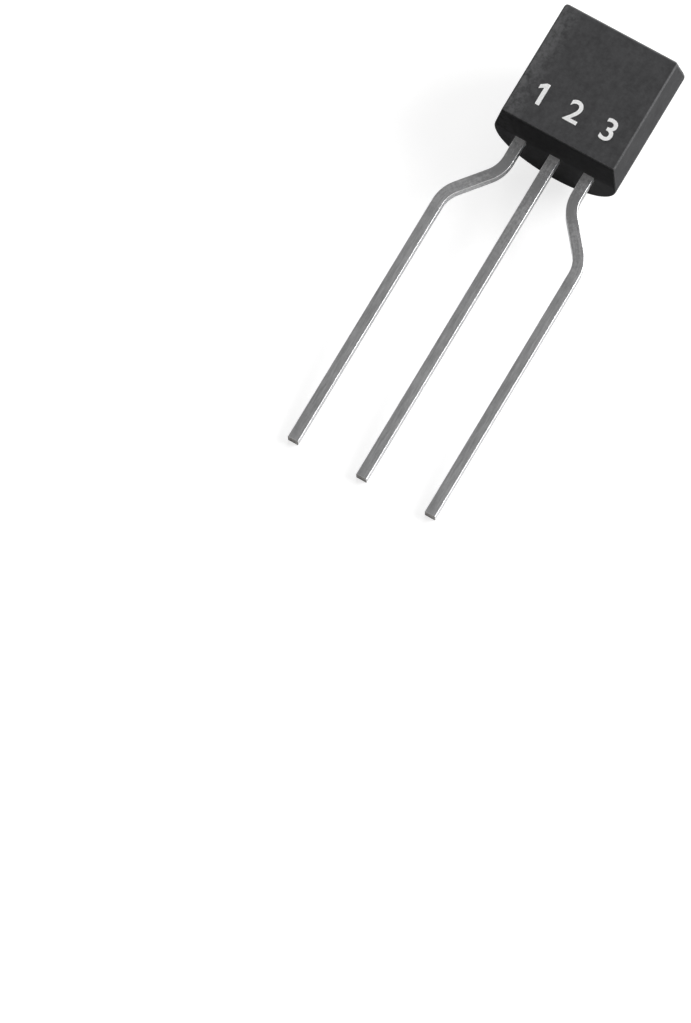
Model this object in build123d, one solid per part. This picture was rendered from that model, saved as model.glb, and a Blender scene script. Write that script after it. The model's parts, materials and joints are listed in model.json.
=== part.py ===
from build123d import *
import math
import os

# A three-lead moulded transistor with formed leads, lying on its round back with its flat face up.
#
# The pieces are built upright and then laid down together. Upright, X runs across the flat face,
# Y runs from the lead end to the top end, Z points out of the flat face, and the origin is the
# middle of the flat face. Lengths are in millimetres and angles in degrees.

# Moulded body
body_width = 4.55           # across the parting line
body_height = 4.6           # lead end to top end, at the parting line
parting_depth = 1.2         # from the flat face back to the parting line
side_land = 0.125           # straight side between the parting line and the half-round back
front_draft = 8.5           # lean of the bevelled sides and ends in front of the parting line
back_draft = 1.2            # lean of the two ends behind the parting line
edge_radius = 0.06          # rounding of the moulded edges
recess_diameter = 1.5       # ejector-pin recess in the middle of the round back
recess_depth = 0.22         # of the recess floor, below the crown of the back

# Leads, stamped from one sheet whose front surface lies on the parting line
lead_width = 0.38
lead_thickness = 0.4
lead_corner = 0.03          # rounding of the plated corners
lead_length = 12.5          # from the body's lead end to the tips
pitch_at_body = 1.27
pitch_at_tips = 2.54
straight_exit = 0.8         # from the body's lead end to the first bend
bend_radius = 1.2           # of a bent lead's centreline
bend_angle = 39.0           # lean of an outer lead between its two bends

# Lead ends inside the body
pad_width = 2.2             # die pad at the end of the middle lead
pad_length = 1.3
pad_top_gap = 0.6           # from the die pad to the body's top end
post_width = 0.75           # bond post at the end of an outer lead
post_length = 1.3
post_gap = 0.3              # from the posts to the die pad

# Die, its attach layer and the bond wires
die_size = 0.5
die_thickness = 0.2
attach_margin = 0.03        # attach layer showing around the die
attach_thickness = 0.02
wire_diameter = 0.03
wire_rise = 0.3             # of a wire, above its bond on the die
wire_bend_radius = 0.15
bond_inset = 0.13           # from the die's edge to the middle of a bond
ball_diameter = 0.09
bond_height = 0.04          # of the ball bonds and the stitch bonds
stitch_size = 0.12
stitch_inset = 0.25         # from the top of a post to the middle of its stitch bond

# What follows from those sizes
back_radius = body_width / 2
body_thickness = parting_depth + side_land + back_radius
lead_end = -body_height / 2
tip_end = lead_end - lead_length
sheet_front = -parting_depth
sheet_middle = sheet_front - lead_thickness / 2
pad_top = body_height / 2 - pad_top_gap
pad_bottom = pad_top - pad_length
die_middle = (pad_top + pad_bottom) / 2
post_top = pad_bottom - post_gap
die_bottom = sheet_front + attach_thickness
die_top = die_bottom + die_thickness
overshoot = 1.0             # how far a cutting outline runs past the body
touching = 1e-4             # two places nearer than this are one


def half_height(depth):
    """Half the body's height at a depth behind the flat face."""
    lean = front_draft if depth < parting_depth else back_draft
    return body_height / 2 - abs(depth - parting_depth) * math.tan(math.radians(lean))


def end_outline():
    """The D of the body, as seen from the lead end."""
    flat_half = back_radius - parting_depth * math.tan(math.radians(front_draft))
    round_start = -parting_depth - side_land
    sides = Polyline(
        (back_radius, round_start),
        (back_radius, -parting_depth),
        (flat_half, 0),
        (-flat_half, 0),
        (-back_radius, -parting_depth),
        (-back_radius, round_start),
    )
    back = ThreePointArc(sides @ 1, (0, -body_thickness), sides @ 0)
    return make_face(Plane.XZ * (sides + back))


def side_outline():
    """The body's height at every depth, from before the flat face to behind the crown."""
    depths = (-overshoot, parting_depth, body_thickness + overshoot)
    top_edge = [(half_height(depth), -depth) for depth in depths]
    bottom_edge = [(-y, z) for y, z in reversed(top_edge)]
    return make_face(Plane.YZ * Polyline(*top_edge, *bottom_edge, close=True))


def depth_range(edge):
    """The least and greatest depth of an edge's two ends."""
    depths = [-edge.position_at(t).Z for t in (0, 1)]
    return min(depths), max(depths)


def rear_end_edges(shape):
    """The edges around the two ends, behind the parting line."""
    found = []
    for edge in shape.edges():
        nearest, furthest = depth_range(edge)
        behind = nearest > parting_depth - touching and furthest > parting_depth + touching
        along = abs(edge.position_at(0).Y - edge.position_at(1).Y) > body_height / 2
        if behind and not along:
            found.append(edge)
    return found


def front_edges(shape):
    """The four edges of the flat face and the four bevelled corners that start from it."""
    return [edge for edge in shape.edges() if depth_range(edge)[0] < touching]


def body_envelope():
    """The moulding with nothing in it: drafted D, rounded edges and the recess in its back."""
    across = extrude(end_outline(), amount=body_height, both=True)
    along = extrude(side_outline(), amount=body_width, both=True)
    solid = across & along
    solid = fillet(rear_end_edges(solid), edge_radius)
    solid = fillet(front_edges(solid), edge_radius)
    floor = -body_thickness + recess_depth
    recess = Cylinder(
        recess_diameter / 2,
        recess_depth + overshoot,
        align=(Align.CENTER, Align.CENTER, Align.MAX),
    )
    return solid - Pos(0, 0, floor) * recess


def plate(x, bottom, top, width):
    """A flat area of the lead sheet, between two heights."""
    area = Box(width, top - bottom, lead_thickness)
    return Pos(x, (top + bottom) / 2, sheet_middle) * area


def lead_along(path):
    """The rounded section of a lead, carried along its centreline from inside the body."""
    start = Plane(origin=path @ 0, x_dir=(1, 0, 0), z_dir=path % 0)
    section = start * RectangleRounded(lead_width, lead_thickness, lead_corner)
    return sweep(section, path=path)


def middle_lead():
    """The straight lead, which widens into the die pad."""
    path = Line((0, pad_bottom, sheet_middle), (0, tip_end, sheet_middle))
    return lead_along(path) + plate(0, pad_bottom, pad_top, pad_width)


def outer_lead(side):
    """A bent lead with its bond post, to the right (side 1) or the left (side -1)."""
    near = side * pitch_at_body
    far = side * pitch_at_tips
    tangent = bend_radius * math.tan(math.radians(bend_angle / 2))
    first = lead_end - straight_exit - tangent
    second = first - (pitch_at_tips - pitch_at_body) / math.tan(math.radians(bend_angle))
    post_bottom = post_top - post_length
    path = FilletPolyline(
        (near, post_bottom, sheet_middle),
        (near, first, sheet_middle),
        (far, second, sheet_middle),
        (far, tip_end, sheet_middle),
        radius=bend_radius,
    )
    return lead_along(path) + plate(near, post_bottom, post_top, post_width)


def square_plate(size, bottom, thickness):
    """A square layer in the middle of the die pad."""
    layer = Box(size, size, thickness, align=(Align.CENTER, Align.CENTER, Align.MIN))
    return Pos(0, die_middle, bottom) * layer


def bond_wire(side):
    """One wire with its ball bond on the die and its stitch bond on the right or left post."""
    x = side * (die_size / 2 - bond_inset)
    post_x = side * pitch_at_body
    stitch_y = post_top - stitch_inset
    half_bond = bond_height / 2
    path = FilletPolyline(
        (x, die_middle, die_top + half_bond),
        (x, die_middle, die_top + wire_rise),
        (post_x, stitch_y, sheet_front + half_bond),
        radius=wire_bend_radius,
    )
    start = Plane(origin=path @ 0, z_dir=path % 0)
    wire = sweep(start * Circle(wire_diameter / 2), path=path)
    standing = (Align.CENTER, Align.CENTER, Align.MIN)
    ball = Pos(x, die_middle, die_top) * Cylinder(ball_diameter / 2, bond_height, align=standing)
    stitch = Box(stitch_size, stitch_size, bond_height, align=standing)
    return wire + ball + Pos(post_x, stitch_y, sheet_front) * stitch


def rest_tilt():
    """The lean at which the back's rounded lead-end edge and the lead tips share one floor."""
    lean = math.radians(back_draft)
    edge_z = -body_thickness + edge_radius
    edge_y = -half_height(-edge_z) + edge_radius / math.cos(lean)
    tip_y = tip_end
    tip_z = sheet_front - lead_thickness
    run = edge_y - tip_y
    rise = tip_z - edge_z
    reach = math.hypot(run, rise)
    return math.degrees(math.atan2(rise, run) + math.asin(edge_radius / reach))


def upright_pieces():
    """Every piece by name; the body fits face to face around what it holds."""
    pieces = {
        "middle_lead": middle_lead(),
        "left_lead": outer_lead(-1),
        "right_lead": outer_lead(1),
        "die_attach": square_plate(die_size + 2 * attach_margin, sheet_front, attach_thickness),
        "silicon_die": square_plate(die_size, die_bottom, die_thickness),
        "left_bond_wire": bond_wire(-1),
        "right_bond_wire": bond_wire(1),
    }
    body = body_envelope()
    for piece in pieces.values():
        body -= piece
    return {"moulded_body": body, **pieces}


def laid_down(pieces):
    """The pieces tilted onto the floor, with the origin under the middle of their box."""
    tilted = {name: Rot(rest_tilt(), 0, 0) * piece for name, piece in pieces.items()}
    boxes = [piece.bounding_box() for piece in tilted.values()]
    middle_y = (min(box.min.Y for box in boxes) + max(box.max.Y for box in boxes)) / 2
    shift = Pos(0, -middle_y, -min(box.min.Z for box in boxes))
    return {name: shift * piece for name, piece in tilted.items()}


os.makedirs("parts", exist_ok=True)
for name, piece in laid_down(upright_pieces()).items():
    export_step(piece, f"parts/{name}.step")
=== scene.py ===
import json
import math

import bmesh
import bpy
from mathutils import Matrix, Vector

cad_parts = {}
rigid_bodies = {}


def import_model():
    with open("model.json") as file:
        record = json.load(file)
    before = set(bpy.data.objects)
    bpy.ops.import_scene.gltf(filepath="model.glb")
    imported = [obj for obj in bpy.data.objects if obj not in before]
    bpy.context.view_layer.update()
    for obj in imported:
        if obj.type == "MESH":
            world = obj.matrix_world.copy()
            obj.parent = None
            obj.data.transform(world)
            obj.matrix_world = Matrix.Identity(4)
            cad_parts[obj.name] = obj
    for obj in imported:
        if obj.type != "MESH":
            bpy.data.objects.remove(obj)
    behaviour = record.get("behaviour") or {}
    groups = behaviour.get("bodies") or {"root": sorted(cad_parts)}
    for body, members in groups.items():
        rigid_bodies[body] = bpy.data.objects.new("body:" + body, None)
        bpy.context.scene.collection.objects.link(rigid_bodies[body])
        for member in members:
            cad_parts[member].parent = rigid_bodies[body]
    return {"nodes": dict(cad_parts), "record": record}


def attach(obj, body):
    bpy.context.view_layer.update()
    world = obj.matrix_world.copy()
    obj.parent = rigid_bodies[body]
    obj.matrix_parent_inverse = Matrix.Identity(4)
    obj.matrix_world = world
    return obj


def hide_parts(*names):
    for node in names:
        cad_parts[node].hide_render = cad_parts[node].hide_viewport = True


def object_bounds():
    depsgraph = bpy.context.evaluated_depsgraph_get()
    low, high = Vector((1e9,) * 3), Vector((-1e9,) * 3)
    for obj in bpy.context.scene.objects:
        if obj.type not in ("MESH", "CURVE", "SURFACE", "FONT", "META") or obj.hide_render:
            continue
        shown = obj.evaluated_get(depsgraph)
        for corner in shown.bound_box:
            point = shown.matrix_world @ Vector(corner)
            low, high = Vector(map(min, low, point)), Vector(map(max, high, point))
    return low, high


# A small moulded transistor with formed leads, lying on its round back on a white studio floor.

for leftover in list(bpy.data.objects):
    bpy.data.objects.remove(leftover)
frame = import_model()
cad_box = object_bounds()
record = frame["record"]

MM = 0.001

# Sizes of the moulded body, in millimetres and degrees. Upright, X runs across the flat face,
# Y from the lead end to the top end, Z out of the flat face, and the origin is the middle of
# the flat face.
BODY_WIDTH = 4.55
BODY_HEIGHT = 4.6
PARTING_DEPTH = 1.2
SIDE_LAND = 0.125
FRONT_DRAFT = 8.5
BACK_DRAFT = 1.2
EDGE_RADIUS = 0.06
TOP_CORNER_RADIUS = 0.14
PARTING_BLEND = 0.12        # how far the rounded parting line reaches to each side of it
RECESS_RADIUS = 0.75
RECESS_DEPTH = 0.22
RECESS_RIM = 0.015          # rounding of the recess's rim
BACK_RADIUS = BODY_WIDTH / 2
BODY_THICKNESS = PARTING_DEPTH + SIDE_LAND + BACK_RADIUS

# How finely the body is divided
PARTING_STEPS = 8
ROUND_STEPS = 120
EDGE_STEPS = 6
RECESS_STEPS = 96
RECESS_RIM_STEPS = 2

# Sizes of the leads
LEAD_WIDTH = 0.38
LEAD_THICKNESS = 0.4
LEAD_CORNER = 0.03
LEAD_LENGTH = 12.5
PITCH_AT_BODY = 1.27
PITCH_AT_TIPS = 2.54
STRAIGHT_EXIT = 0.8
BEND_RADIUS = 1.2
BEND_ANGLE = 39.0
CUT_EDGE = 0.015            # how far the bare metal of the cut tip shows round its edge
PAD_WIDTH = 2.2
PAD_LENGTH = 1.3
PAD_TOP_GAP = 0.6
POST_WIDTH = 0.75
POST_LENGTH = 1.3
POST_GAP = 0.3
LEAD_END = -BODY_HEIGHT / 2
TIP_END = LEAD_END - LEAD_LENGTH
LEAD_FRONT = -PARTING_DEPTH
LEAD_BACK = LEAD_FRONT - LEAD_THICKNESS
PAD_TOP = BODY_HEIGHT / 2 - PAD_TOP_GAP
PAD_BOTTOM = PAD_TOP - PAD_LENGTH
POST_TOP = PAD_BOTTOM - POST_GAP
POST_BOTTOM = POST_TOP - POST_LENGTH

# How finely the leads are divided
MIDDLE_STEPS = 60
EXIT_STEPS = 8
BEND_STEPS = 16
SLANT_STEPS = 6
END_STEPS = 50
LEAD_CORNER_STEPS = 4

# Shading: faces that meet at more than these angles, in degrees, meet at a sharp edge
BODY_SHARP_ANGLE = 28
LEAD_SHARP_ANGLE = 40
SQUARE_ANGLE = 60           # past this, a sheet's outline is a corner to be rounded
SAME_PLACE = 1e-6


# ---------------------------------------------------------------- placing

def mount(name):
    """The place and direction of one of the record's mounts."""
    found = next(m for m in record["mounts"] if m["name"] == name)
    return Vector(found["pos_m"]), Vector(found["axis"])


def upright_to_row():
    """The matrix from the upright frame, in millimetres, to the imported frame, in metres."""
    middle, out = mount("flat_front")
    _, towards_tips = mount("board_leads")
    up = -towards_tips
    turn = Matrix((up.cross(out), up, out)).transposed().to_4x4()
    return Matrix.Translation(middle) @ turn @ Matrix.Scale(MM, 4)


TO_ROW = upright_to_row()


def new_object(bm, name, *materials):
    """An object in the scene with the mesh of a bmesh, which is used up."""
    mesh = bpy.data.meshes.new(name)
    bm.to_mesh(mesh)
    bm.free()
    for material in materials:
        mesh.materials.append(material)
    made = bpy.data.objects.new(name, mesh)
    bpy.context.scene.collection.objects.link(made)
    return made


def finish_piece(bm, name, material, replaces=()):
    """Turns an upright bmesh into a piece that rides on the transistor."""
    bmesh.ops.recalc_face_normals(bm, faces=bm.faces)
    bm.transform(TO_ROW)
    piece = new_object(bm, name, material)
    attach(piece, "root")
    if replaces:
        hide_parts(*replaces)
    return piece


def applied(piece):
    """The piece's mesh with its modifiers applied, which are then gone."""
    bpy.context.view_layer.update()
    depsgraph = bpy.context.evaluated_depsgraph_get()
    mesh = bpy.data.meshes.new_from_object(piece.evaluated_get(depsgraph))
    piece.modifiers.clear()
    return mesh


def shade(piece, sharp_angle, weight):
    """Smooth shading between sharp edges, with normals that the larger faces decide."""
    piece.data.shade_smooth()
    piece.data.set_sharp_from_angle(angle=math.radians(sharp_angle))
    weigh = piece.modifiers.new("normals", "WEIGHTED_NORMAL")
    weigh.keep_sharp = True
    weigh.weight = weight


# ---------------------------------------------------------------- node helpers

class Nodes:
    """A short way to write a material's node tree."""

    def __init__(self, tree):
        self.tree = tree
        tree.nodes.clear()

    def add(self, kind, inputs=None, **settings):
        """A new node, with its settings and with a value or a link for each input given."""
        node = self.tree.nodes.new(kind)
        for key, value in settings.items():
            setattr(node, key, value)
        for key, value in (inputs or {}).items():
            self.put(node.inputs[key], value)
        return node

    def put(self, socket, value):
        """Links a socket to another one, or sets it to a constant."""
        if isinstance(value, bpy.types.NodeSocket):
            self.tree.links.new(value, socket)
        else:
            socket.default_value = value

    def noise(self, where, scale, detail=3.0, roughness=0.55):
        inputs = {"Vector": where, "Scale": scale, "Detail": detail, "Roughness": roughness}
        return self.add("ShaderNodeTexNoise", inputs).outputs["Fac"]

    def span(self, value, low, high, to_low, to_high):
        """A value carried from one range to another, and held at its ends."""
        inputs = {
            "Value": value, "From Min": low, "From Max": high, "To Min": to_low, "To Max": to_high,
        }
        return self.add("ShaderNodeMapRange", inputs).outputs["Result"]

    def spread(self, noise, to_low, to_high, reach=0.15):
        """A noise carried to another range, from within a reach of its middle."""
        return self.span(noise, 0.5 - reach, 0.5 + reach, to_low, to_high)

    def math(self, operation, a, b=0.0):
        return self.add("ShaderNodeMath", {0: a, 1: b}, operation=operation).outputs[0]

    def mixed(self, first, second, share):
        """Two textures added up, the first with the given share."""
        parts = self.math("MULTIPLY", first, share), self.math("MULTIPLY", second, 1 - share)
        return self.math("ADD", *parts)

    def blend(self, factor, first, second):
        """A colour between two, where each is a socket or three numbers."""
        node = self.add("ShaderNodeMix", data_type="RGBA")
        for socket, value in ((0, factor), (6, first), (7, second)):
            self.put(node.inputs[socket], (*value, 1) if isinstance(value, tuple) else value)
        return node.outputs[2]

    def attribute(self, name):
        return self.add("ShaderNodeAttribute", attribute_name=name).outputs["Fac"]

    def surface(self, inputs, height, strength, depth):
        """The surface itself: a principled shader with a bump of the given depth."""
        bump_inputs = {"Height": height, "Strength": strength, "Distance": depth * MM}
        bump = self.add("ShaderNodeBump", bump_inputs).outputs[0]
        shader = self.add("ShaderNodeBsdfPrincipled", {**inputs, "Normal": bump})
        self.add("ShaderNodeOutputMaterial", {"Surface": shader.outputs[0]})


def new_material(name):
    """An empty material and its nodes."""
    material = bpy.data.materials.new(name)
    material.use_nodes = True
    return material, Nodes(material.node_tree)


def millimetres(n):
    """Positions on the object, in millimetres."""
    where = n.add("ShaderNodeTexCoord").outputs["Object"]
    inputs = {0: where, "Scale": 1 / MM}
    return n.add("ShaderNodeVectorMath", inputs, operation="SCALE").outputs[0]


# ---------------------------------------------------------------- materials

EPOXY_DARK = (0.049, 0.049, 0.0505)
EPOXY_LIGHT = (0.078, 0.078, 0.0805)
# pale tone for the left side's speckles, and for the rubbed wear and painted highlight on the rounded
# edges
EPOXY_PALE_AND_HIGHLIGHT = (0.15, 0.15, 0.153)
EPOXY_ROUGHNESS = (0.62, 0.76)
EPOXY_SPECULAR = 0.05
PALE_LEFT_FROM = -1.3         # across the body, where the paler speckles begin on its left side
PALE_LEFT_TO = -2.1           # and where they are strongest

TIN_DARK = (0.45, 0.45, 0.456)
TIN_LIGHT = (0.78, 0.78, 0.786)
# near-white painted highlight along a lead's rounded corners
TIN_CORNER_HIGHLIGHT = (0.92, 0.92, 0.92)
TIN_EXIT_BAND = (0.95, 0.95, 0.95)
CUT_METAL = (0.3, 0.29, 0.28)
TIN_ROUGHNESS = (0.3, 0.42)
CUT_ROUGHNESS = 0.15        # of the cut tip, on top of the plating's
CORNER_HIGHLIGHT_SHARE = 0.9       # of the painted highlight's colour in the middle of a lead's rounded corner
EXIT_BAND_SHARE = 0.9          # of the near-white band's colour where the lead leaves the body
EXIT_BAND_FROM = 0.03          # distances from the body, between which the band fades
EXIT_BAND_TO = 0.2
WORKED_FROM = 0.6           # and between which the marks of forming fade
WORKED_TO = 4.5
WORKED_SHARE = 0.2          # of those marks that is left on the straight ends
SHADE_BAND_MIDDLE = 1.15          # where a painted shade darkens the lead most, measured from the body
SHADE_BAND_REACH = 1.0
SHADE_BAND_DARKENS = 0.8            # by this much of the way from the light tone to the dark one
PIT_DEPTH = 0.5             # how far pits and drawing marks move the tone to each side
STREAK_DEPTH = 0.18
DRAWN_OUT = 0.06            # scale of the drawing marks along the lead, where across it is 1
ROUND_SHARE = 0.7           # how far the marks shift sideways with depth, on a lead's sides
GRAIN_ROUGHENS = 0.08       # how far the grain of a plain material moves its roughness


def epoxy_material():
    """Charcoal moulding compound: matt and mottled, with paler speckles towards its left side, and
    rubbed wear and a painted highlight along its rounded edges.
    """
    material, n = new_material("epoxy")
    where = millimetres(n)
    clouds = n.noise(where, scale=1.4, detail=4.0)
    mottle = n.noise(where, scale=5.5, detail=5.0, roughness=0.7)
    grain = n.noise(where, scale=24.0)
    tone = n.spread(n.mixed(clouds, mottle, share=0.35), 0.0, 1.0)
    colour = n.blend(tone, EPOXY_DARK, EPOXY_LIGHT)

    across = n.add("ShaderNodeSeparateXYZ", {0: where}).outputs["X"]
    left = n.span(across, PALE_LEFT_FROM, PALE_LEFT_TO, 0.0, 1.0)
    pale_left = n.math("MULTIPLY", left, n.span(mottle, 0.38, 0.6, 0.1, 0.75))
    # rubbed wear and a painted highlight along the middle of the rounded edges
    edge_wear_and_highlight = n.math("MULTIPLY", n.attribute("edge"), n.span(grain, 0.35, 0.6, 0.25, 0.8))
    colour = n.blend(n.math("MAXIMUM", pale_left, edge_wear_and_highlight), colour, EPOXY_PALE_AND_HIGHLIGHT)

    inputs = {
        "Base Color": colour,
        "Roughness": n.spread(mottle, *EPOXY_ROUGHNESS, reach=0.2),
        "Specular IOR Level": EPOXY_SPECULAR,
    }
    n.surface(inputs, n.mixed(mottle, grain, share=0.6), strength=0.4, depth=0.01)
    return material


def tin_material():
    """Dull tin plating, marked by drawing and forming, with a painted highlight along its rounded
    corners, a painted shade on the lead a little past the body, a near-white band where it leaves the
    body, and a bare cut tip.
    """
    material, n = new_material("tinned_lead")
    where = millimetres(n)
    along = n.add("ShaderNodeUVMap", uv_map="along").outputs[0]
    from_body = n.add("ShaderNodeSeparateXYZ", {0: along}).outputs["Y"]
    inputs = {0: along, 1: (1.0, DRAWN_OUT, 1.0)}
    stretched = n.add("ShaderNodeVectorMath", inputs, operation="MULTIPLY").outputs[0]
    streaks = n.noise(stretched, scale=22.0, detail=4.0, roughness=0.65)
    clouds = n.noise(where, scale=0.7, detail=2.0)
    pits = n.noise(where, scale=9.0, detail=5.0, roughness=0.75)

    worked = n.span(from_body, WORKED_FROM, WORKED_TO, 1.0, WORKED_SHARE)
    pitted = n.math("MULTIPLY", n.spread(pits, -PIT_DEPTH, PIT_DEPTH, reach=0.12), worked)
    drawn = n.spread(streaks, -STREAK_DEPTH, STREAK_DEPTH)
    tone = n.math("ADD", n.spread(clouds, 0.35, 0.6), n.math("ADD", pitted, drawn))
    # painted shade: a darker band on the lead a little past where it leaves the body
    from_shade_band = n.math("ABSOLUTE", n.math("SUBTRACT", from_body, SHADE_BAND_MIDDLE))
    tone = n.math("SUBTRACT", tone, n.span(from_shade_band, 0.0, SHADE_BAND_REACH, SHADE_BAND_DARKENS, 0.0))
    colour = n.blend(tone, TIN_DARK, TIN_LIGHT)

    # painted highlight along the middle of the rounded corners
    corner_highlight = n.math("MULTIPLY", n.attribute("corner"), CORNER_HIGHLIGHT_SHARE)
    colour = n.blend(corner_highlight, colour, TIN_CORNER_HIGHLIGHT)
    from_exit = n.math("ABSOLUTE", from_body)
    exit_band = n.span(from_exit, EXIT_BAND_FROM, EXIT_BAND_TO, EXIT_BAND_SHARE, 0.0)
    colour = n.blend(exit_band, colour, TIN_EXIT_BAND)
    cut = n.attribute("cut")
    colour = n.blend(cut, colour, CUT_METAL)

    plated = n.spread(streaks, *TIN_ROUGHNESS, reach=0.2)
    inputs = {
        "Base Color": colour,
        "Metallic": 1.0,
        "Roughness": n.math("ADD", plated, n.math("MULTIPLY", cut, CUT_ROUGHNESS)),
    }
    n.surface(inputs, n.mixed(streaks, pits, share=0.4), strength=0.4, depth=0.008)
    return material


def plain_material(name, dark, light, metallic, rough, scale):
    """A fine grain of two tones, for the print and for what is sealed inside."""
    material, n = new_material(name)
    grain = n.noise(millimetres(n), scale)
    smoothest, roughest = rough - GRAIN_ROUGHENS, rough + GRAIN_ROUGHENS
    inputs = {
        "Base Color": n.blend(n.spread(grain, 0.0, 1.0), dark, light),
        "Metallic": metallic,
        "Roughness": n.spread(grain, smoothest, roughest, reach=0.2),
    }
    n.surface(inputs, grain, strength=0.2, depth=0.003)
    return material


EPOXY = epoxy_material()
TIN = tin_material()
PRINT = plain_material("white_print", (0.86, 0.86, 0.855), (0.95, 0.95, 0.95), 0.0, 0.55, 12.0)
SILICON = plain_material("silicon", (0.12, 0.13, 0.16), (0.2, 0.21, 0.25), 0.6, 0.2, 30.0)
ATTACH = plain_material("attach", (0.45, 0.45, 0.43), (0.62, 0.62, 0.6), 0.5, 0.5, 60.0)
GOLD = plain_material("bond_wire", (0.75, 0.5, 0.16), (0.86, 0.62, 0.24), 1.0, 0.28, 80.0)


# ---------------------------------------------------------------- body

def half_height(depth):
    """Half the body's height at a depth behind the flat face."""
    lean = FRONT_DRAFT if depth < PARTING_DEPTH else BACK_DRAFT
    return BODY_HEIGHT / 2 - abs(depth - PARTING_DEPTH) * math.tan(math.radians(lean))


def half_width(depth):
    """Half the body's width at a depth that is in front of the round back."""
    return BACK_RADIUS - max(PARTING_DEPTH - depth, 0) * math.tan(math.radians(FRONT_DRAFT))


def blended(measure, depth):
    """A half size of the body, with its corner at the parting line rounded."""
    t = (depth - PARTING_DEPTH) / PARTING_BLEND
    if abs(t) >= 1:
        return measure(depth)
    before, middle, after = (measure(PARTING_DEPTH + k * PARTING_BLEND) for k in (-1, 0, 1))
    u = (t + 1) / 2
    return before * (1 - u) ** 2 + 2 * middle * u * (1 - u) + after * u ** 2


def rim(depth):
    """The body's outline at one depth in front of the round back: a rectangle, from lower left."""
    x = blended(half_width, depth)
    y = blended(half_height, depth)
    corners = ((-1, -1), (1, -1), (1, 1), (-1, 1))
    return [Vector((side_x * x, side_y * y, -depth)) for side_x, side_y in corners]


def round_back(sign):
    """The edge of one end behind the parting line, from left to right round the back."""
    outline = []
    for step in range(ROUND_STEPS + 1):
        angle = math.pi * step / ROUND_STEPS
        x = -BACK_RADIUS * math.cos(angle)
        depth = PARTING_DEPTH + SIDE_LAND + BACK_RADIUS * math.sin(angle)
        outline.append(Vector((x, sign * half_height(depth), -depth)))
    return outline


def body_shell():
    """The closed drafted shape, with a weight from 0 to 1 on each edge that is to be rounded."""
    bm = bmesh.new()
    weight = bm.edges.layers.float.new("bevel_weight_edge")
    places = [2 * i / PARTING_STEPS - 1 for i in range(PARTING_STEPS + 1)]
    depths = [0, *(PARTING_DEPTH + PARTING_BLEND * place for place in places)]
    rims = [[bm.verts.new(v) for v in rim(depth)] for depth in depths]
    lower = [bm.verts.new(v) for v in round_back(-1)]
    upper = [bm.verts.new(v) for v in round_back(1)]
    bm.faces.new(rims[0])
    for near, far in zip(rims, rims[1:]):
        for i in range(4):
            j = (i + 1) % 4
            bm.faces.new((near[j], near[i], far[i], far[j]))
    last = rims[-1]
    lower = [last[0], *lower, last[1]]
    upper = [last[3], *upper, last[2]]
    for a, b, c, d in zip(lower, lower[1:], upper[1:], upper):
        bm.faces.new((a, b, c, d))
    bm.faces.new(lower)
    bm.faces.new(list(reversed(upper)))

    rounded = {frozenset((rims[0][i], rims[0][(i + 1) % 4])): EDGE_RADIUS for i in range(4)}
    corner_radii = (EDGE_RADIUS, EDGE_RADIUS, TOP_CORNER_RADIUS, TOP_CORNER_RADIUS)
    for near, far in zip(rims, rims[1:]):
        rounded.update({frozenset(pair): r for *pair, r in zip(near, far, corner_radii)})
    for row in (lower, upper):
        rounded.update({frozenset(pair): EDGE_RADIUS for pair in zip(row, row[1:])})
    for edge in bm.edges:
        edge[weight] = rounded.get(frozenset(edge.verts), 0) / TOP_CORNER_RADIUS
    return bm


def mark_edges(mesh):
    """Marks the middle of each rounded edge, where the moulding gets rubbed wear and a painted
    highlight.
    """
    bm = bmesh.new()
    bm.from_mesh(mesh)
    layer = bm.verts.layers.float.new("edge")
    for vert in bm.verts:
        vert[layer] = float(all(f.material_index == 1 for f in vert.link_faces))
    for f in bm.faces:
        f.material_index = 0
    bm.to_mesh(mesh)
    bm.free()
    mesh.materials.pop()


def recess_cutter():
    """A plug in the round back, as wide as the recess and with its end at the recess's floor."""
    bm = bmesh.new()
    length = 1.0
    floor = -BODY_THICKNESS + RECESS_DEPTH
    bmesh.ops.create_cone(
        bm,
        cap_ends=True,
        segments=RECESS_STEPS,
        radius1=RECESS_RADIUS,
        radius2=RECESS_RADIUS,
        depth=length,
        matrix=Matrix.Translation((0, 0, floor - length / 2)),
    )
    bm.transform(TO_ROW)
    return new_object(bm, "recess_cutter")


def cut_recess(piece):
    """Cuts the round recess into the back and softens its rim."""
    cutter = recess_cutter()
    cut = piece.modifiers.new("recess", "BOOLEAN")
    cut.object = cutter
    cut.solver = "EXACT"
    soften = piece.modifiers.new("rim", "BEVEL")
    soften.width = RECESS_RIM * MM
    soften.segments = RECESS_RIM_STEPS
    soften.limit_method = "ANGLE"
    soften.angle_limit = math.radians(SQUARE_ANGLE)
    piece.data = applied(piece)
    bpy.data.objects.remove(cutter)


def moulded_body():
    """The epoxy moulding, with rounded edges and the ejector-pin recess in its round back."""
    piece = finish_piece(body_shell(), "moulded_epoxy_body", EPOXY, ["moulded_body"])
    piece.data.materials.append(EPOXY)      # a second slot, which tells the rounded edges apart
    soften = piece.modifiers.new("edges", "BEVEL")
    soften.limit_method = "WEIGHT"
    soften.width = TOP_CORNER_RADIUS * MM
    soften.segments = EDGE_STEPS
    soften.material = 1
    piece.data = applied(piece)
    mark_edges(piece.data)
    cut_recess(piece)
    shade(piece, BODY_SHARP_ANGLE, weight=100)


moulded_body()


# ---------------------------------------------------------------- leads

def middle_stations():
    """Points along the middle lead from its pad to its tip, with the direction of its width."""
    before_cut = TIP_END + CUT_EDGE
    run = before_cut - PAD_BOTTOM
    heights = [PAD_BOTTOM + run * i / MIDDLE_STEPS for i in range(MIDDLE_STEPS + 1)]
    return [(Vector((0, y)), Vector((1, 0))) for y in (*heights, TIP_END)]


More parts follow.
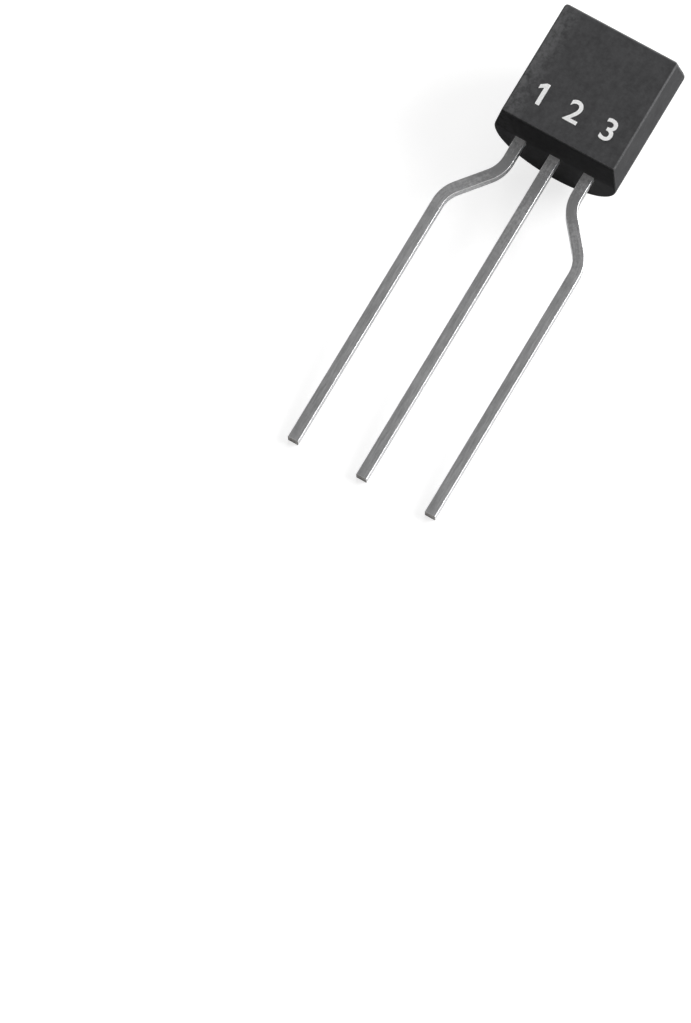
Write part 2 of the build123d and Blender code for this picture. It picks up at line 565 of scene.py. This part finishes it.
def outer_stations(side):
    """The same for a bent lead, from its post, to the right (side 1) or the left (side -1)."""
    near = side * PITCH_AT_BODY
    far = side * PITCH_AT_TIPS
    before_cut = TIP_END + CUT_EDGE
    lean = math.radians(BEND_ANGLE)
    stations = []

    def across(angle):
        return Vector((math.cos(angle), side * math.sin(angle)))

    def straight(start, end, angle, count):
        stations.extend((start.lerp(end, i / count), across(angle)) for i in range(count))

    def bend(centre, sign, start_angle, end_angle):
        for i in range(BEND_STEPS):
            angle = start_angle + (end_angle - start_angle) * i / BEND_STEPS
            stations.append((centre - sign * side * BEND_RADIUS * across(angle), across(angle)))

    to_curve = side * BEND_RADIUS * across(lean)
    first_start = Vector((near, LEAD_END - STRAIGHT_EXIT))
    first_centre = first_start + Vector((side * BEND_RADIUS, 0))
    first_end = first_centre - to_curve
    second_start_x = far - side * BEND_RADIUS + to_curve.x
    slant = (second_start_x - first_end.x) / math.sin(lean) * side
    second_start = first_end + slant * Vector((side * math.sin(lean), -math.cos(lean)))
    second_centre = second_start - to_curve
    straight(Vector((near, POST_BOTTOM)), first_start, 0.0, EXIT_STEPS)
    bend(first_centre, 1, 0.0, lean)
    straight(first_end, second_start, lean, SLANT_STEPS)
    bend(second_centre, -1, lean, 0.0)
    straight(Vector((far, second_centre.y)), Vector((far, before_cut)), 0.0, END_STEPS)
    stations.extend((Vector((far, y)), Vector((1, 0))) for y in (before_cut, TIP_END))
    return stations


def lead_sheet(stations, centre_x, plate_width, plate_bottom, plate_top):
    """The square-edged sheet of a lead, with the plate at its inner end."""
    bm = bmesh.new()
    rows = []
    for centre, across in stations:
        edges = centre - across * LEAD_WIDTH / 2, centre + across * LEAD_WIDTH / 2
        corners = [(p.x, p.y, z) for z in (LEAD_FRONT, LEAD_BACK) for p in edges]
        rows.append([bm.verts.new(corner) for corner in corners])
    half = plate_width / 2
    outline = (
        (-half, plate_bottom), (-half, plate_top), (half, plate_top), (half, plate_bottom),
    )
    front, back = (
        [bm.verts.new((centre_x + x, y, z)) for x, y in outline] for z in (LEAD_FRONT, LEAD_BACK)
    )
    for above, below in zip(rows, rows[1:]):
        for i, j in ((0, 1), (2, 3), (0, 2), (1, 3)):
            bm.faces.new((above[i], above[j], below[j], below[i]))
    bm.faces.new((rows[-1][0], rows[-1][1], rows[-1][3], rows[-1][2]))
    bm.faces.new((rows[0][0], *front, rows[0][1]))
    bm.faces.new((rows[0][2], *back, rows[0][3]))
    for i in range(3):
        bm.faces.new((front[i], front[i + 1], back[i + 1], back[i]))
    bm.faces.new((front[0], back[0], rows[0][2], rows[0][0]))
    bm.faces.new((front[3], back[3], rows[0][3], rows[0][1]))
    bmesh.ops.recalc_face_normals(bm, faces=bm.faces)
    return bm


def is_outline(edge):
    """Whether an edge lies on the outline of the sheet's front or back, where faces meet squarely."""
    flat = any(
        all(abs(v.co.z - z) < SAME_PLACE for v in edge.verts) for z in (LEAD_FRONT, LEAD_BACK)
    )
    return flat and edge.calc_face_angle(0) > math.radians(SQUARE_ANGLE)


def round_corners(bm):
    """Rounds the sheet's outline and marks the middle of the rounding, where a painted highlight
    lightens it.
    """
    corner = bm.verts.layers.float.new("corner")
    made = bmesh.ops.bevel(
        bm,
        geom=[e for e in bm.edges if is_outline(e)],
        offset=LEAD_CORNER,
        offset_type="OFFSET",
        segments=LEAD_CORNER_STEPS,
        profile=0.5,
        affect="EDGES",
        clamp_overlap=True,
    )
    rounded = set(made["faces"])
    for vert in made["verts"]:
        vert[corner] = float(rounded.issuperset(vert.link_faces))


def map_along(bm, stations):
    """A UV map in millimetres, round the lead and along it from the body, and a mark on the tip."""
    layer = bm.loops.layers.uv.new("along")
    cut = bm.verts.layers.float.new("cut")
    lengths = [0.0]
    for (a, _), (b, _) in zip(stations, stations[1:]):
        lengths.append(lengths[-1] + (b - a).length)
    start = stations[0][0].y - LEAD_END
    for vert in bm.verts:
        vert[cut] = float(abs(vert.co.y - TIP_END) < CUT_EDGE / 2)
        flat = vert.co.xy
        at = min(range(len(stations)), key=lambda i: (stations[i][0] - flat).length_squared)
        centre, across = stations[at]
        offset = flat - centre
        along = lengths[at] - start + offset.dot(Vector((across.y, -across.x)))
        for loop in vert.link_loops:
            loop[layer].uv = (offset.dot(across) + ROUND_SHARE * vert.co.z, along)


def stamped_lead(name, node, stations, centre_x, *plate):
    """A lead and its inner plate, stamped from one sheet, with the plating's rounded edges."""
    bm = lead_sheet(stations, centre_x, *plate)
    round_corners(bm)
    map_along(bm, stations)
    piece = finish_piece(bm, name, TIN, [node])
    shade(piece, LEAD_SHARP_ANGLE, weight=50)


PAD = PAD_WIDTH, PAD_BOTTOM, PAD_TOP
POST = POST_WIDTH, POST_BOTTOM, POST_TOP
stamped_lead("middle_formed_lead", "middle_lead", middle_stations(), 0, *PAD)
stamped_lead("left_formed_lead", "left_lead", outer_stations(-1), -PITCH_AT_BODY, *POST)
stamped_lead("right_formed_lead", "right_lead", outer_stations(1), PITCH_AT_BODY, *POST)

for material, *nodes in (
    (SILICON, "silicon_die"),
    (ATTACH, "die_attach"),
    (GOLD, "left_bond_wire", "right_bond_wire"),
    (EPOXY, "moulded_body"),
    (TIN, "middle_lead", "left_lead", "right_lead"),
):
    for node in nodes:
        frame["nodes"][node].material_slots[0].material = material


# ---------------------------------------------------------------- print

NUMERAL_HEIGHT = 0.8
NUMERAL_BASE = 0.72         # above the flat face's lower edge
NUMERAL_BOLD = 0.012        # added all round the stroke, of a font one unit high
NUMERAL_STEPS = 8           # in each curve of a stroke
INK_TOP = 0.006
INK_ROOT = -0.01            # sunk into the body, so that no gap shows under the ink
MERGE_DISTANCE = 1e-5

# The numeral 1, as an outline with a flag to the left of its stem
NUMERAL_ONE = (
    (0.0, 0.0), (0.15, 0.0), (0.15, 0.8), (0.03, 0.8), (-0.16, 0.67), (-0.16, 0.52), (0.0, 0.62),
)


def numeral_from_font(digit):
    """The flat shape of a numeral in the built-in font."""
    curve = bpy.data.curves.new("numeral", "FONT")
    curve.body = digit
    curve.resolution_u = NUMERAL_STEPS
    curve.offset = NUMERAL_BOLD
    text = bpy.data.objects.new("numeral", curve)
    bpy.context.scene.collection.objects.link(text)
    mesh = applied(text)
    bpy.data.objects.remove(text)
    bm = bmesh.new()
    bm.from_mesh(mesh)
    return bm


def numeral_from_outline(outline):
    """The flat shape of a numeral with the given outline."""
    bm = bmesh.new()
    bm.faces.new([bm.verts.new((x, y, 0)) for x, y in outline])
    return bm


def raise_ink(bm):
    """Closes a flat shape into a slab that reaches up to the top of the ink."""
    flat = bm.faces[:]
    outline = [e for e in bm.edges if e.is_boundary]
    above = {v: bm.verts.new((v.co.x, v.co.y, INK_TOP)) for v in bm.verts[:]}
    for f in flat:
        bm.faces.new([above[v] for v in f.verts])
    for a, b in (e.verts for e in outline):
        bm.faces.new((a, b, above[b], above[a]))


def print_numeral(bm, digit, x):
    """Prints a flat shape in white ink, at the right size, on the flat face above a lead."""
    bmesh.ops.remove_doubles(bm, verts=bm.verts, dist=MERGE_DISTANCE)
    xs = [v.co.x for v in bm.verts]
    ys = [v.co.y for v in bm.verts]
    size = NUMERAL_HEIGHT / (max(ys) - min(ys))
    base = -half_height(0) + NUMERAL_BASE
    at = Vector((x - size * (min(xs) + max(xs)) / 2, base - size * min(ys), INK_ROOT))
    bm.transform(Matrix.Translation(at) @ Matrix.Scale(size, 4))
    raise_ink(bm)
    for f in bm.faces:
        f.smooth = False
    finish_piece(bm, f"pin_number_{digit}", PRINT)


print_numeral(numeral_from_outline(NUMERAL_ONE), 1, -PITCH_AT_BODY)
print_numeral(numeral_from_font("2"), 2, 0)
print_numeral(numeral_from_font("3"), 3, PITCH_AT_BODY)


# ---------------------------------------------------------------- stage

WHITE = (1, 1, 1, 1)
DULL = (0.06, 0.06, 0.06, 1)
FLOOR_RADIUS = 3.0
FLOOR_STEPS = 96
AMBIENT = 0.05              # of the room, in diffuse light
GLOSS_LOW = 0.85            # of the room in reflections, up to LOW of the way to the zenith
GLOSS_HIGH = 0.29           # and from HIGH of the way
LOW = 0.3
HIGH = 0.9


def lit_floor(n, glow, white):
    """A floor that is partly lit from within, so that the shadow on it is soft."""
    lit = n.add("ShaderNodeBsdfDiffuse", {"Color": (white, white, white, 1)})
    inner = n.add("ShaderNodeEmission", {"Color": WHITE, "Strength": glow})
    return n.add("ShaderNodeAddShader", {0: lit.outputs[0], 1: inner.outputs[0]}).outputs[0]


def floor_material():
    """White to the camera and in reflections, with the object's shadow; dark to diffuse light."""
    material, n = new_material("floor")
    path = n.add("ShaderNodeLightPath").outputs
    mirrored = n.math("MAXIMUM", path["Is Glossy Ray"], path["Is Transmission Ray"])
    dull = n.add("ShaderNodeBsdfDiffuse", {"Color": DULL})
    seen = lit_floor(n, glow=0.78, white=0.4)
    reflected = lit_floor(n, glow=0.12, white=0.9)
    unseen = n.add("ShaderNodeMixShader", {0: mirrored, 1: dull.outputs[0], 2: reflected})
    whole = {0: path["Is Camera Ray"], 1: unseen.outputs[0], 2: seen}
    mix = n.add("ShaderNodeMixShader", whole)
    n.add("ShaderNodeOutputMaterial", {"Surface": mix.outputs[0]})
    return material


def make_floor():
    """A wide round floor that the transistor lies on."""
    bm = bmesh.new()
    bmesh.ops.create_circle(bm, cap_ends=True, segments=FLOOR_STEPS, radius=FLOOR_RADIUS)
    floor = new_object(bm, "floor", floor_material())


def make_world():
    """White behind the object, dim in diffuse light, and in reflections palest near the floor."""
    world = bpy.data.worlds.new("studio")
    world.use_nodes = True
    bpy.context.scene.world = world
    n = Nodes(world.node_tree)
    path = n.add("ShaderNodeLightPath").outputs
    way = n.add("ShaderNodeTexCoord").outputs["Generated"]
    up = n.add("ShaderNodeSeparateXYZ", {0: way}).outputs["Z"]
    gloss = n.math("SUBTRACT", n.span(up, LOW, HIGH, GLOSS_LOW, GLOSS_HIGH), AMBIENT)
    light = n.math("ADD", n.math("MULTIPLY", path["Is Glossy Ray"], gloss), AMBIENT)
    seen = n.math("MAXIMUM", path["Is Camera Ray"], path["Is Transmission Ray"])
    inputs = {"Color": WHITE, "Strength": n.math("MAXIMUM", light, seen)}
    background = n.add("ShaderNodeBackground", inputs)
    n.add("ShaderNodeOutputWorld", {"Surface": background.outputs[0]})


def make_lamp(name, direction, distance, size, power):
    """A square soft box that faces the object."""
    lamp = bpy.data.lights.new(name, "AREA")
    lamp.shape = "SQUARE"
    lamp.size = size
    lamp.energy = power
    box = bpy.data.objects.new(name, lamp)
    bpy.context.scene.collection.objects.link(box)
    way = Vector(direction).normalized()
    box.location = (cad_box[0] + cad_box[1]) / 2 + way * distance
    box.rotation_mode = "QUATERNION"
    box.rotation_quaternion = way.to_track_quat("Z", "Y")
    return box


make_floor()
make_world()
make_lamp("key", (0.8, 0.5, 0.55), distance=0.6, size=0.45, power=5.1)
back_lamp = make_lamp("back", (-0.15, 0.9, 0.6), distance=0.7, size=0.65, power=3.6)
back_lamp.visible_glossy = False    # or the leads, seen from low in front, are lost in its glare


# ---------------------------------------------------------------- camera

VIEW_AZIMUTH = 22.70        # degrees round from -Y towards +X
VIEW_ELEVATION = 65.07
VIEW_ROLL = 8.04
VIEW_DISTANCE = 275.2
VIEW_RIGHT = -4.9           # of the camera, from the line through the middle of the object
VIEW_UP = -8.5
LENS = 300
SENSOR = 36
NEAREST_SEEN = 0.01
FURTHEST_SEEN = 20


def make_camera():
    """A long lens, high above the lead tips, aimed beside the object."""
    azimuth, elevation, roll = map(math.radians, (VIEW_AZIMUTH, VIEW_ELEVATION, VIEW_ROLL))
    back = Vector((
        math.sin(azimuth) * math.cos(elevation),
        -math.cos(azimuth) * math.cos(elevation),
        math.sin(elevation),
    ))
    level = Vector((0, 0, 1)).cross(back).normalized()
    right = Matrix.Rotation(roll, 3, back) @ level
    up = back.cross(right)
    data = bpy.data.cameras.new("camera")
    data.lens = LENS
    data.sensor_width = SENSOR
    data.clip_start = NEAREST_SEEN
    data.clip_end = FURTHEST_SEEN
    camera = bpy.data.objects.new("camera", data)
    bpy.context.scene.collection.objects.link(camera)
    offset = back * VIEW_DISTANCE + right * VIEW_RIGHT + up * VIEW_UP
    place = (cad_box[0] + cad_box[1]) / 2 + offset * MM
    turn = Matrix((right, up, back)).transposed().to_4x4()
    camera.matrix_world = Matrix.Translation(place) @ turn
    bpy.context.scene.camera = camera


make_camera()
bpy.context.scene.view_settings.view_transform = "Standard"

bpy.context.view_layer.update()
